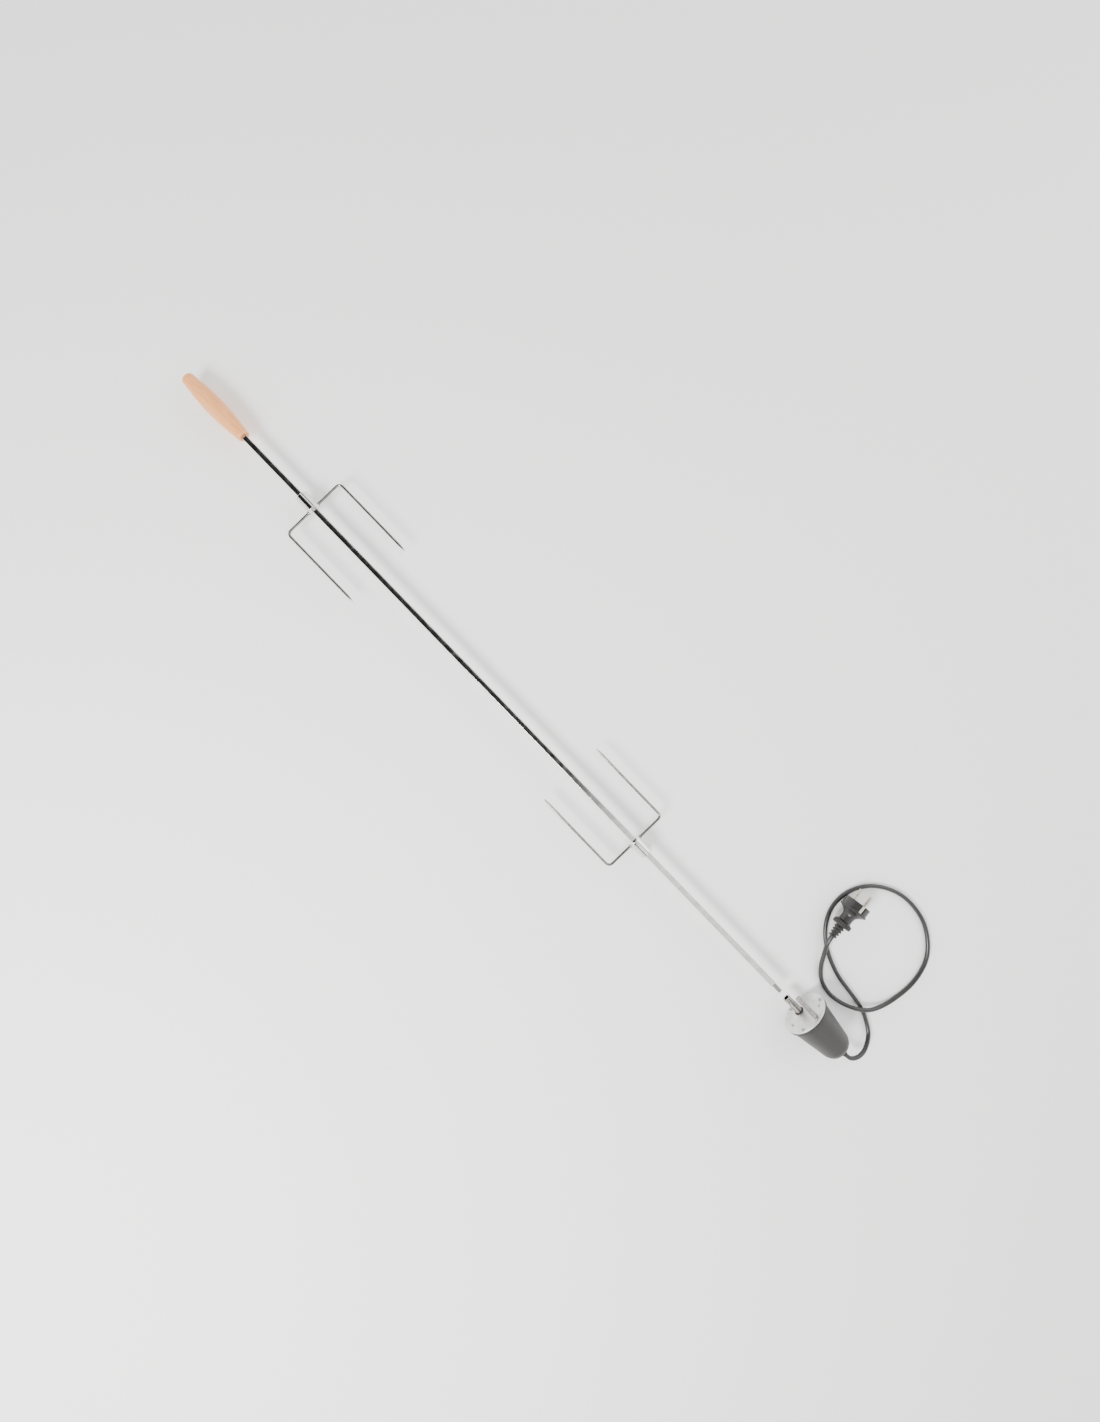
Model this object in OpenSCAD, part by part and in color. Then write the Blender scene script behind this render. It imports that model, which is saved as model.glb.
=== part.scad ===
// Electric rotisserie spit: a square bar with a wooden handle, two sliding
// meat forks and a round geared motor on a mains lead.
// X runs along the bar from the handle to the motor and Z is up. The origin
// is on the ground, under the middle of everything except the lead.

/* [Spit] */
// Side of the square bar
bar_side = 8; // [6:0.5:12]
// Whole spit, from the handle's butt to the tip
spit_len = 1281; // [900:1:1600]
// Side of the reduced square tip
tip_side = 6; // [5:0.5:7]
// Length of the reduced square tip
tip_len = 15; // [10:1:20]
// Gap between the tip and the drive tube
tip_gap = 14; // [10:1:40]

/* [Handle] */
// Length of the wooden handle
handle_len = 122; // [90:1:160]
// Radius at the butt
handle_butt_r = 10; // [9:0.5:13]
// Radius at the front
handle_front_r = 9.2; // [9:0.1:12]
// How far the barrel swells beyond its ends
handle_swell = 4.4; // [2:0.2:7]
// Depth of the bar's tang in the handle
tang_len = 60; // [40:1:80]

/* [Forks] */
// Width over the outside of a fork's prongs
fork_w = 113; // [80:1:160]
// Length of a prong from the cross arm's middle
prong_len = 141; // [100:1:190]
// Radius of the prong wire
wire_r = 2; // [1.5:0.1:2.6]
// Radius of the wire's bend, at its middle
bend_r = 7; // [5:0.5:12]
// Length of a prong's ground point
point_len = 13; // [8:1:20]
// Outer radius of a collar
collar_r = 10; // [9:0.5:13]
// Length of a collar
collar_len = 28; // [24:1:40]
// Clearance between the bar and a collar, each side
slide_fit = 0.15; // [0.1:0.05:0.4]
// Handle's butt to the cross arm of the first fork
fork_a_at = 272; // [250:1:330]
// Handle's butt to the cross arm of the second fork
fork_b_at = 968; // [900:1:1010]

/* [Thumb screws] */
// Radius of the screw's shank
thumb_r = 2.5; // [2:0.1:3]
// Radius of the screw's round boss
thumb_boss_r = 4.5; // [4:0.1:5]
// Span across the two wings
wing_span = 30; // [24:1:34]
// Thickness of the wings
wing_t = 3; // [2:0.2:4]
// Turn of the wings about the screw
wing_turn = 50; // [0:5:90]

/* [Motor casing] */
// Radius of the face plate
plate_r = 35; // [32:0.5:44]
// Thickness of the face plate
plate_t = 2; // [1.5:0.1:3]
// Length of the casing behind the face plate
casing_len = 71; // [66:1:90]
// Radius of the casing's small end
casing_end_r = 23; // [22:0.5:26]
// Wall of the casing
casing_wall = 2.2; // [1.8:0.1:2.6]
// Length of the casing's front rim
rim_len = 4; // [3:0.5:6]
// Width of the moulded foot
foot_w = 36; // [30:1:40]
// Length of the moulded foot
foot_len = 18; // [12:1:22]

/* [Drive] */
// Drive tube, sideways from the middle of the plate
drive_side = -4.2; // [-6:0.1:-3]
// Drive tube, below the middle of the plate
drive_drop = 10.6; // [10:0.1:12]
// Length of the drive tube in front of the plate
tube_len = 28; // [24:1:36]
// Outer radius of the drive tube
tube_r = 5.5; // [5.5:0.1:6]
// Clearance of the tip in the square socket, each side
socket_fit = 0.3; // [0.2:0.05:0.4]
// Depth of the square socket
socket_len = 26; // [20:1:30]
// Wall of the bush between the drive tube and its rim
bush_wall = 2; // [1.5:0.1:2.5]
// Radial clearance of every running fit
run_fit = 0.05; // [0.02:0.01:0.08]

/* [Locating pin] */
// Locating pin, sideways from the middle of the plate
pin_side = 9; // [7:0.1:10]
// Locating pin, above the middle of the plate
pin_rise = 24.6; // [23:0.1:25]
// Length of the locating pin in front of the plate
pin_len = 38; // [30:1:46]
// Radius of the locating pin
pin_r = 4; // [3.5:0.1:4.5]

/* [Gears] */
// Gear module, the pitch diameter per tooth
gear_mod = 0.6; // [0.55:0.01:0.62]
// Teeth of the output gear
output_teeth = 52; // [48:1:54]
// Teeth of each large wheel
wheel_teeth = 40; // [38:1:41]
// Teeth of each pinion
pinion_teeth = 12; // [11:1:13]
// Tooth thickness left out for backlash
backlash = 0.12; // [0.08:0.01:0.16]
// Radius of the fixed gear arbors
arbor_r = 1.2; // [1:0.1:1.4]

/* [Motor inside] */
// Outer radius of the stator cup
stator_r = 20; // [18:0.5:21]
// Length of the stator cup
stator_len = 22; // [18:1:24]
// Radius of the magnet rotor
rotor_r = 8; // [7:0.5:9]

/* [Lead] */
// Radius of the lead
cord_r = 3.25; // [3:0.05:3.6]
// Length of the strain relief on the casing
gland_len = 22; // [20:1:26]
// Radius of the plug's flange
plug_r = 20; // [19:0.5:22]
// Distance between the plug's two pins
plug_pitch = 19; // [18.5:0.1:19.5]
// Radius of the plug's pins
plug_pin_r = 2.4; // [2.3:0.05:2.5]
// Length of the plug's pins
plug_pin_len = 19; // [18:0.5:20]

/* [Hidden] */
$fn = 48;

// Places along X
bush_r = tube_r + bush_wall;
all_len = spit_len + tip_gap + tube_len + plate_t + casing_len;
butt_x = -all_len / 2;
handle_x = butt_x + handle_len;
tip_x = butt_x + spit_len;
mouth_x = tip_x + tip_gap;
plate_x = mouth_x + tube_len;
back_x = plate_x + plate_t;
rear_x = back_x + casing_len;

// The casing lies on its plate's rim and on its foot
motor_at = [-drive_side, plate_r];
drive_at = [0, plate_r - drive_drop];
pin_at = motor_at + [pin_side, pin_rise];
axis_z = drive_at.y;

// Forks
bore_half = bar_side / 2 + slide_fit;
arm_in = 2.5;
prong_in = 2;
screw_in = 7;
screw_x = arm_in + screw_in - collar_len;
boss_gap = 0.4;
tip_clear = 0.1;
wing_r = 5.5;

// Casing
band_step = 2;
shell_r = plate_r - band_step;
end_round = 6;
boss_r = 2.3;
boss_len = 10;
casing_screw_at = plate_r - 4.5;
casing_screw_turns = [5, 125, 245];
screw_hole_r = 1.3;
screw_head_r = 2.4;
screw_head_t = 1.4;

// Gearbox layers, counted from the plate's back
layer_1 = 1.5;
layer_2 = 8;
layer_3 = 12;
wheel_t = 3;
pinion_lap = 1;
box_x = back_x + 17;
box_t = 1.5;
box_r = 27;
shaft_r = 4;
post_r = 2.5;
post_at = 25.5;
rivet_r = 1.2;

// Gear centres in the Y-Z plane
output_r = gear_mod * output_teeth / 2;
wheel_r = gear_mod * wheel_teeth / 2;
pinion_r = gear_mod * pinion_teeth / 2;
second_turn = 31;
drive_dir = dir_of(motor_at, drive_at);
second_at = drive_at + (output_r + pinion_r) * [cos(second_turn), sin(second_turn)];
third_at = apex(second_at, motor_at, wheel_r + pinion_r);
post_turns = [drive_dir + 45, drive_dir - 75, drive_dir + 138];

// Tooth places that put every pair in mesh
second_phase = meshed(drive_at, second_at, 0, output_teeth, pinion_teeth);
third_phase = meshed(second_at, third_at, second_phase, wheel_teeth, pinion_teeth);
rotor_phase = meshed(third_at, motor_at, third_phase, wheel_teeth, pinion_teeth);

// Electric motor
stator_wall = 1.2;
rotor_gap = 0.8;
rotor_shaft_r = 1.5;
coil_gap = 0.6;
stator_x = box_x + box_t;
stator_end = stator_x + stator_len;
terminal_x = stator_end + 1;
terminal_len = 9;

// Small edges and overlaps
point_tip_r = 0.3;
wing_web = 6;
foot_overlap = 8;
pin_edge = 0.8;
post_head_t = 0.8;
gland_step = 0.8;

// Lead and plug
gland_z = plate_r - casing_end_r + 12;
gland_at = [rear_x, motor_at.x, gland_z];
gland_base_r = 5.5;
gland_tip_r = 4.2;
gland_root = 5;
plug_at = [581, 114, plug_r];
plug_turn = 97;
relief_len = 20;
relief_end_r = 7.5;
grip_len = 29;
grip_ring_len = 8;
grip_edge = 2;
flare_len = 8;
face_len = 15;
flange_t = 3;
face_r = plug_r - 1.5;
neck_r = plug_r - 11;
grip_r = plug_r - 6.5;
clip_w = 6;

// Middle line of the lead: from the strain relief, round one loop, to the plug
cord_route = concat(
    [gland_at + [gland_len, 0, 0], gland_at + [gland_len + 11, 2, -1]],
    [
        [740, 15, 19], [744, 27, 14], [742, 40, 9], [735, 52, 5.2], [723, 61, 3.5],
        [707, 69, 3.4], [690, 73, 3.4], [666, 76, 3.4], [640, 80, 3.4], [614, 89, 3.4],
        [591, 102, 3.4], [572, 120, 3.4], [560, 142, 3.4], [557, 167, 3.4], [563, 191, 3.4],
        [577, 212, 3.4], [597, 227, 3.4], [621, 236, 3.4], [648, 237, 3.4], [674, 231, 3.4],
        [697, 217, 3.4], [715, 198, 3.4], [725, 175, 3.4], [729, 149, 3.4], [727, 122, 3.6],
        [720, 98, 6.5], [708, 78, 10.4], [692, 64, 10.2], [672, 54, 5.5], [650, 51, 3.4],
        [628, 57, 3.4], [611, 71, 5.4], [597, 88, 10.8], [586, 102, 17]
    ],
    [plug_at]
);
cord_sides = 10;

function dir_of(a, b) = atan2(b.y - a.y, b.x - a.x);

// The point at distance d from both a and b, on the left of the way from a to b
function apex(a, b, d) =
    let (half = norm(b - a) / 2, turn = dir_of(a, b) - acos(half / d))
    a + d * [cos(turn), sin(turn)];

// Tooth angle of gear b that puts it in mesh with gear a
function meshed(a, b, phase_a, teeth_a, teeth_b) =
    let (turn = dir_of(a, b))
    turn + 180 + 180 / teeth_b - (phase_a - turn) * teeth_a / teeth_b;

// Radius of the handle at a share t of its length
function handle_r(t) =
    handle_butt_r + (handle_front_r - handle_butt_r) * t + handle_swell * sin(180 * t);

// Catmull-Rom point between p[i] and p[i + 1]
function route_point(p, i, t) =
    let (
        a = p[max(i - 1, 0)], b = p[i], c = p[i + 1], d = p[min(i + 2, len(p) - 1)]
    )
    0.5 * (2 * b + (c - a) * t + (2 * a - 5 * b + 4 * c - d) * t * t
        + (3 * b - a - 3 * c + d) * t * t * t);

function unit(v) = v / norm(v);

// Involute gear outline
function involute(base_r, r) = let (a = acos(min(base_r / r, 1))) tan(a) * 180 / PI - a;
function gear_outline(teeth, phase) =
    let (
        pitch_r = gear_mod * teeth / 2,
        base_r = pitch_r * cos(20),
        top_r = pitch_r + 0.85 * gear_mod,
        root_r = pitch_r - 1.15 * gear_mod,
        start_r = max(base_r, root_r),
        half = 90 / teeth - backlash / 4 / pitch_r * 180 / PI + involute(base_r, pitch_r),
        flank = [for (i = [0:4]) start_r + (top_r - start_r) * i / 4],
        foot = half - involute(base_r, start_r)
    )
    [for (k = [0:teeth - 1]) let (mid = phase + 360 * k / teeth) each concat(
        [root_r * [cos(mid - foot), sin(mid - foot)]],
        [for (r = flank) let (a = mid - half + involute(base_r, r)) r * [cos(a), sin(a)]],
        [for (i = [4:-1:0]) let (r = flank[i], a = mid + half - involute(base_r, r))
            r * [cos(a), sin(a)]],
        [root_r * [cos(mid + foot), sin(mid + foot)]]
    )];

// Puts a shape drawn in X-Y, and raised along Z, at a place in Y-Z, raised along X
module along_x(x, at) {
    translate([x, at.x, at.y]) rotate([90, 0, 90]) children();
}

module rod_x(x, at, r, h) {
    along_x(x, at) cylinder(r = r, h = h);
}

module square_x(x, at, side, h) {
    along_x(x, at) translate([-side / 2, -side / 2, 0]) cube([side, side, h]);
}

module gear_x(x, at, teeth, phase, h, bore_r) {
    along_x(x, at) difference() {
        linear_extrude(height = h) polygon(gear_outline(teeth, phase));
        translate([0, 0, -1]) cylinder(r = bore_r, h = h + 2);
    }
}

module spit_rod() {
    color("silver") {
        square_x(handle_x - tang_len, [0, axis_z], bar_side,
            tip_x - tip_len - handle_x + tang_len);
        square_x(tip_x - tip_len, [0, axis_z], tip_side, tip_len);
    }
}

module handle() {
    steps = 20;
    color("burlywood") difference() {
        along_x(butt_x, [0, axis_z]) rotate_extrude() polygon(concat(
            [[0, 0], [handle_butt_r - 3, 0]],
            [for (i = [0:6]) [handle_butt_r - 3 + 3 * sin(15 * i), 3 - 3 * cos(15 * i)]],
            [for (i = [1:steps]) let (t = i / steps) [handle_r(t), 3 + (handle_len - 4) * t]],
            [[handle_front_r - 1, handle_len], [0, handle_len]]
        ));
        square_x(handle_x - tang_len, [0, axis_z], bar_side, tang_len + 1);
    }
}

// Both forks are drawn with the cross arm at the origin and the prongs towards +X
module fork_at(from_butt, facing) {
    translate([butt_x + from_butt, 0, axis_z]) rotate([0, 0, facing]) children();
}

module collar() {
    start = arm_in - collar_len;
    difference() {
        along_x(start, [0, 0]) cylinder(r = collar_r, h = collar_len);
        square_x(start - 1, [0, 0], 2 * bore_half, collar_len + 2);
        for (side = [-1, 1])
            translate([0, side * (collar_r - prong_in), 0])
                rotate([-90 * side, 0, 0]) cylinder(r = wire_r, h = collar_r);
        translate([screw_x, 0, -collar_r - 1]) cylinder(r = thumb_r + run_fit, h = collar_r);
    }
}

module prong(side) {
    reach = fork_w / 2 - wire_r;
    start = collar_r - prong_in;
    straight = prong_len - bend_r - point_len;
    mirror([0, side < 0 ? 1 : 0, 0]) {
        translate([0, start, 0]) rotate([-90, 0, 0])
            cylinder(r = wire_r, h = reach - bend_r - start);
        translate([bend_r, reach - bend_r, 0]) rotate([0, 0, 90])
            rotate_extrude(angle = 90) translate([bend_r, 0]) circle(r = wire_r);
        along_x(bend_r, [reach, 0]) cylinder(r = wire_r, h = straight);
        along_x(bend_r + straight, [reach, 0])
            cylinder(r1 = wire_r, r2 = point_tip_r, h = point_len);
    }
}

module thumb_screw() {
    head = axis_z - collar_r - boss_gap;
    translate([screw_x, 0, 0]) {
        translate([0, 0, -collar_r - boss_gap])
            cylinder(r = thumb_r, h = collar_r + boss_gap - bar_side / 2 - tip_clear);
        translate([0, 0, -axis_z]) cylinder(r = thumb_boss_r, h = head);
        translate([0, 0, -axis_z]) rotate([90, 0, wing_turn])
            linear_extrude(height = wing_t, center = true) {
                for (side = [-1, 1])
                    translate([side * (wing_span / 2 - wing_r), wing_r]) circle(r = wing_r);
                translate([-wing_span / 2 + wing_r, 1]) square([wing_span - 2 * wing_r, wing_web]);
            }
    }
}

module fork_a_collar() { color("gainsboro") fork_at(fork_a_at, 0) collar(); }
module fork_a_left_prong() { color("silver") fork_at(fork_a_at, 0) prong(1); }
module fork_a_right_prong() { color("silver") fork_at(fork_a_at, 0) prong(-1); }
module fork_a_thumb_screw() { color("gainsboro") fork_at(fork_a_at, 0) thumb_screw(); }
module fork_b_collar() { color("gainsboro") fork_at(fork_b_at, 180) collar(); }
module fork_b_left_prong() { color("silver") fork_at(fork_b_at, 180) prong(-1); }
module fork_b_right_prong() { color("silver") fork_at(fork_b_at, 180) prong(1); }
module fork_b_thumb_screw() { color("gainsboro") fork_at(fork_b_at, 180) thumb_screw(); }

// One child at each casing screw
module at_casing_screws(x) {
    for (turn = casing_screw_turns)
        along_x(x, motor_at + casing_screw_at * [cos(turn), sin(turn)]) children();
}

module at_posts(x) {
    for (turn = post_turns)
        along_x(x, motor_at + post_at * [cos(turn), sin(turn)]) children();
}

module at_arbors(x) {
    for (at = [second_at, third_at]) along_x(x, at) children();
}

module face_plate() {
    color("lightgray") difference() {
        rod_x(plate_x, motor_at, plate_r, plate_t);
        rod_x(plate_x - 1, drive_at, bush_r - 1, plate_t + 2);
        rod_x(plate_x - 1, pin_at, pin_r - 1, plate_t + 2);
        at_casing_screws(plate_x - 1) cylinder(r = screw_hole_r, h = plate_t + 2);
        at_posts(plate_x - 1) cylinder(r = screw_hole_r, h = plate_t + 2);
        at_arbors(plate_x + 1) cylinder(r = arbor_r, h = plate_t);
    }
}

module casing() {
    band_end = rim_len;
    inner_end = casing_len - casing_wall;
    color("#2b2a2a") difference() {
        union() {
            along_x(back_x, motor_at) rotate_extrude() difference() {
                polygon(concat(
                    [[0, 0], [plate_r, 0], [plate_r, band_end], [shell_r, band_end + 1]],
                    [for (i = [0:8]) let (a = 90 * i / 8)
                        [casing_end_r - end_round + end_round * cos(a),
                            casing_len - end_round + end_round * sin(a)]],
                    [[0, casing_len]]
                ));
                polygon([
                    [-1, -1], [shell_r - casing_wall, -1],
                    [shell_r - casing_wall, band_end],
                    [casing_end_r - casing_wall, casing_len - end_round],
                    [casing_end_r - end_round, inner_end], [-1, inner_end]
                ]);
            }
            intersection() {
                at_casing_screws(back_x) cylinder(r = boss_r, h = boss_len);
                rod_x(back_x, motor_at, shell_r, boss_len);
            }
            foot();
        }
        at_casing_screws(back_x - 1) cylinder(r = screw_hole_r, h = boss_len - 1);
        rod_x(rear_x - casing_wall - 1, [motor_at.x, gland_z], gland_base_r - 1.5,
            casing_wall + 2);
    }
}

// The foot runs up to the casing's wall and stops at its inside
module foot() {
    top = plate_r - casing_end_r + foot_overlap;
    start = rear_x - foot_len - end_round;
    difference() {
        translate([start, motor_at.x - foot_w / 2, 0]) cube([foot_len, foot_w, top]);
        along_x(start - 1, motor_at) cylinder(r = casing_end_r - 1, h = foot_len + 2);
    }
}

module casing_screws() {
    color("silver") {
        at_casing_screws(plate_x) cylinder(r = screw_hole_r, h = plate_t + boss_len - 2);
        at_casing_screws(plate_x - screw_head_t) cylinder(r = screw_head_r, h = screw_head_t);
    }
}

module drive_shaft() {
    end_x = box_x + box_t;
    neck_x = back_x + layer_1;
    color("gainsboro") difference() {
        union() {
            rod_x(mouth_x, drive_at, tube_r, neck_x - mouth_x);
            rod_x(neck_x, drive_at, shaft_r, end_x - neck_x);
        }
        square_x(mouth_x - 1, drive_at, tip_side + 2 * socket_fit, socket_len + 1);
    }
}

module shaft_bush() {
    flange_out = 1.2;
    color("#1c1c1c") difference() {
        union() {
            rod_x(plate_x - flange_out, drive_at, bush_r, flange_out);
            rod_x(plate_x, drive_at, bush_r - 1, plate_t + pin_edge);
        }
        rod_x(plate_x - 2, drive_at, tube_r + run_fit, plate_t + 4);
    }
}

module locating_pin() {
    stud_len = plate_t + 7;
    color("gainsboro") {
        along_x(plate_x - pin_len, pin_at) cylinder(r1 = pin_r - pin_edge, r2 = pin_r, h = pin_edge);
        rod_x(plate_x - pin_len + pin_edge, pin_at, pin_r, pin_len - pin_edge);
        rod_x(plate_x, pin_at, pin_r - 1, stud_len);
    }
}

module locating_pin_nut() {
    nut_t = 4.5;
    color("silver") difference() {
        along_x(back_x, pin_at) rotate([0, 0, dir_of(motor_at, pin_at) - 30])
            cylinder(r = pin_r + 1.1, h = nut_t, $fn = 6);
        rod_x(back_x - 1, pin_at, pin_r - 1, nut_t + 2);
    }
}

module gearbox_plate() {
    color("lightgray") difference() {
        rod_x(box_x, motor_at, box_r, box_t);
        rod_x(box_x - 1, drive_at, shaft_r + run_fit, box_t + 2);
        rod_x(box_x - 1, motor_at, rotor_shaft_r + run_fit, box_t + 2);
        at_arbors(box_x - 1) cylinder(r = arbor_r, h = box_t + 2);
        at_posts(box_x - 1) cylinder(r = rivet_r, h = box_t + 2);
    }
}

module gearbox_posts() {
    hole_len = 7;
    color("darkgray") difference() {
        union() {
            at_posts(back_x) cylinder(r = post_r, h = box_x - back_x);
            at_posts(box_x) cylinder(r = rivet_r, h = box_t);
        }
        at_posts(back_x - 1) cylinder(r = screw_hole_r, h = hole_len + 1);
    }
}

module gearbox_screws() {
    color("silver") {
        at_posts(plate_x) cylinder(r = screw_hole_r, h = plate_t + 6);
        at_posts(plate_x - post_head_t) cylinder(r = screw_head_r - 0.4, h = post_head_t);
    }
}

module gear_arbors() {
    color("darkgray") at_arbors(plate_x + 1) cylinder(r = arbor_r, h = box_x + box_t - plate_x - 1);
}

module output_gear() {
    color("khaki") gear_x(back_x + layer_1, drive_at, output_teeth, 0, 5, shaft_r);
}

module cluster(at, phase, pinion_start, wheel_start) {
    bore_r = arbor_r + run_fit;
    gear_x(back_x + pinion_start, at, pinion_teeth, phase, wheel_start - pinion_start, bore_r);
    gear_x(back_x + wheel_start, at, wheel_teeth, phase, wheel_t, bore_r);
}

module second_gear() { color("khaki") cluster(second_at, second_phase, layer_1, layer_2); }
module third_gear() { color("khaki") cluster(third_at, third_phase, layer_2 - pinion_lap / 2, layer_3); }

module rotor_pinion() {
    color("goldenrod") gear_x(back_x + layer_3 - 0.4, motor_at, pinion_teeth, rotor_phase,
        wheel_t + pinion_lap, rotor_shaft_r);
}

module rotor_shaft() {
    start = back_x + layer_3 - 0.4;
    color("silver") rod_x(start, motor_at, rotor_shaft_r, stator_end - start);
}

module rotor_magnet() {
    color("dimgray") difference() {
        rod_x(stator_x + 2, motor_at, rotor_r, stator_len - stator_wall - 4);
        rod_x(stator_x, motor_at, rotor_shaft_r, stator_len);
    }
}

module stator_cup() {
    color("lightgray") difference() {
        rod_x(stator_x, motor_at, stator_r, stator_len);
        rod_x(stator_x - 1, motor_at, stator_r - stator_wall, stator_len - stator_wall + 1);
        rod_x(stator_x, motor_at, rotor_shaft_r + run_fit, stator_len + 1);
        rod_x(stator_x - 1, drive_at, shaft_r + 1, 1);
    }
}

module stator_coil() {
    color("peru") difference() {
        rod_x(stator_x + coil_gap, motor_at, stator_r - stator_wall,
            stator_len - stator_wall - coil_gap);
        rod_x(stator_x, motor_at, rotor_r + rotor_gap, stator_len);
    }
}

module terminal_block() {
    color("ivory") translate([terminal_x - 1, motor_at.x - 9, motor_at.y - 5])
        cube([terminal_len, 18, 10]);
}

module strain_relief() {
    rings = 5;
    ring_len = gland_len / (2 * rings + 1);
    color("#1c1c1c") difference() {
        union() {
            along_x(gland_at.x - gland_root, [gland_at.y, gland_at.z])
                cylinder(r = gland_base_r - 1.5, h = gland_root);
            along_x(gland_at.x, [gland_at.y, gland_at.z])
                cylinder(r1 = gland_base_r - gland_step, r2 = gland_tip_r, h = gland_len);
            for (i = [0:rings])
                along_x(gland_at.x + 2 * i * ring_len, [gland_at.y, gland_at.z])
                    cylinder(r = gland_base_r - 0.2 * i, h = ring_len);
        }
        along_x(gland_at.x - gland_root - 1, [gland_at.y, gland_at.z])
            cylinder(r = 1.5, h = gland_root);
    }
}

module power_cord() {
    parts = 2;
    last = len(cord_route) - 2;
    path = concat(
        [for (i = [0:last], k = [0:parts - 1]) route_point(cord_route, i, k / parts)],
        [cord_route[last + 1]]
    );
    count = len(path);
    points = [for (i = [0:count - 1])
        let (
            way = unit(path[min(i + 1, count - 1)] - path[max(i - 1, 0)]),
            side = unit(cross([0, 0, 1], way)),
            up = cross(way, side)
        )
        for (k = [0:cord_sides - 1]) let (a = 360 * k / cord_sides)
            path[i] + cord_r * (cos(a) * side + sin(a) * up)];
    walls = [for (i = [0:count - 2], k = [0:cord_sides - 1])
        let (n = (k + 1) % cord_sides, a = i * cord_sides)
        [a + k, a + cord_sides + k, a + cord_sides + n, a + n]];
    near = [for (k = [0:cord_sides - 1]) k];
    far = [for (k = [cord_sides - 1:-1:0]) (count - 1) * cord_sides + k];
    color("#262626") polyhedron(points, concat([near], walls, [far]));
}

// The plug is drawn along +X from the lead's end
module at_plug() {
    translate(plug_at) rotate([0, 0, plug_turn]) children();
}

module plug_body() {
    grip_x = relief_len;
    face_x = relief_len + grip_len;
    color("#1e1e1e") at_plug() difference() {
        union() {
            along_x(0, [0, 0]) cylinder(r1 = cord_r + 2, r2 = relief_end_r, h = relief_len);
            along_x(grip_x, [0, 0])
                cylinder(r1 = grip_r - grip_edge, r2 = grip_r, h = grip_ring_len / 2);
            along_x(grip_x + grip_ring_len / 2, [0, 0])
                cylinder(r1 = grip_r, r2 = grip_r - grip_edge, h = grip_ring_len / 2);
            along_x(grip_x + grip_ring_len, [0, 0])
                cylinder(r = neck_r, h = grip_len - grip_ring_len - flare_len);
            along_x(face_x - flare_len, [0, 0]) cylinder(r1 = neck_r, r2 = plug_r, h = flare_len);
            along_x(face_x, [0, 0]) cylinder(r = plug_r, h = flange_t);
            along_x(face_x + flange_t, [0, 0]) cylinder(r = face_r, h = face_len - flange_t);
        }
        for (side = [-1, 1]) {
            translate([face_x + flange_t, -clip_w / 2, side > 0 ? face_r - 2.5 : -face_r - 0.5])
                cube([face_len, clip_w, 3]);
            along_x(face_x + face_len - 6, [side * plug_pitch / 2, 0])
                cylinder(r = plug_pin_r, h = 7);
        }
    }
}

module plug_pins() {
    start = relief_len + grip_len + face_len;
    color("gainsboro") at_plug() for (side = [-1, 1]) {
        along_x(start - 6, [side * plug_pitch / 2, 0])
            cylinder(r = plug_pin_r, h = plug_pin_len + 5);
        along_x(start + plug_pin_len - 1, [side * plug_pitch / 2, 0])
            cylinder(r1 = plug_pin_r, r2 = plug_pin_r - pin_edge, h = 1);
    }
}

module plug_earth_clips() {
    start = relief_len + grip_len + flange_t;
    color("goldenrod") at_plug() for (side = [-1, 1])
        translate([start, -clip_w / 2 + 1, side > 0 ? face_r - 2.5 : -face_r + 1.5])
            cube([face_len - flange_t, clip_w - 2, 1]);
}

spit_rod();
handle();
fork_a_collar();
fork_a_left_prong();
fork_a_right_prong();
fork_a_thumb_screw();
fork_b_collar();
fork_b_left_prong();
fork_b_right_prong();
fork_b_thumb_screw();
face_plate();
casing();
casing_screws();
drive_shaft();
shaft_bush();
locating_pin();
locating_pin_nut();
gearbox_plate();
gearbox_posts();
gearbox_screws();
gear_arbors();
output_gear();
second_gear();
third_gear();
rotor_pinion();
rotor_shaft();
rotor_magnet();
stator_cup();
stator_coil();
terminal_block();
strain_relief();
power_cord();
plug_body();
plug_pins();
plug_earth_clips();
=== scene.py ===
import math
import random

import bmesh
import bpy
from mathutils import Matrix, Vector


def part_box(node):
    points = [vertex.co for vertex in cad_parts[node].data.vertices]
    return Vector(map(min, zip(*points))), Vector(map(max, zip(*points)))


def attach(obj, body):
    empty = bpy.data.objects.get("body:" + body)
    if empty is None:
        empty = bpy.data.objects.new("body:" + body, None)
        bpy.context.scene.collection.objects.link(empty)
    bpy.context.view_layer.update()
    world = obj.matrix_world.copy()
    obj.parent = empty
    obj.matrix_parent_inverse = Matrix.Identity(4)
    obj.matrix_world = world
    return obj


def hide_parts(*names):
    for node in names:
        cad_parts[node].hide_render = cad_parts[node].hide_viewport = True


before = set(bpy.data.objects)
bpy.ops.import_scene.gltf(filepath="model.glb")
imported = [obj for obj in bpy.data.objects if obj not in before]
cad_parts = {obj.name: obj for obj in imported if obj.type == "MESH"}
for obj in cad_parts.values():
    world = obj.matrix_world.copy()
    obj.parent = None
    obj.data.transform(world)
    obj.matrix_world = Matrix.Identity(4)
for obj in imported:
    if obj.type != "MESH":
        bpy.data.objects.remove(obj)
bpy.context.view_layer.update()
random.seed(11)
mm = 0.001
scene = bpy.context.scene

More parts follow.
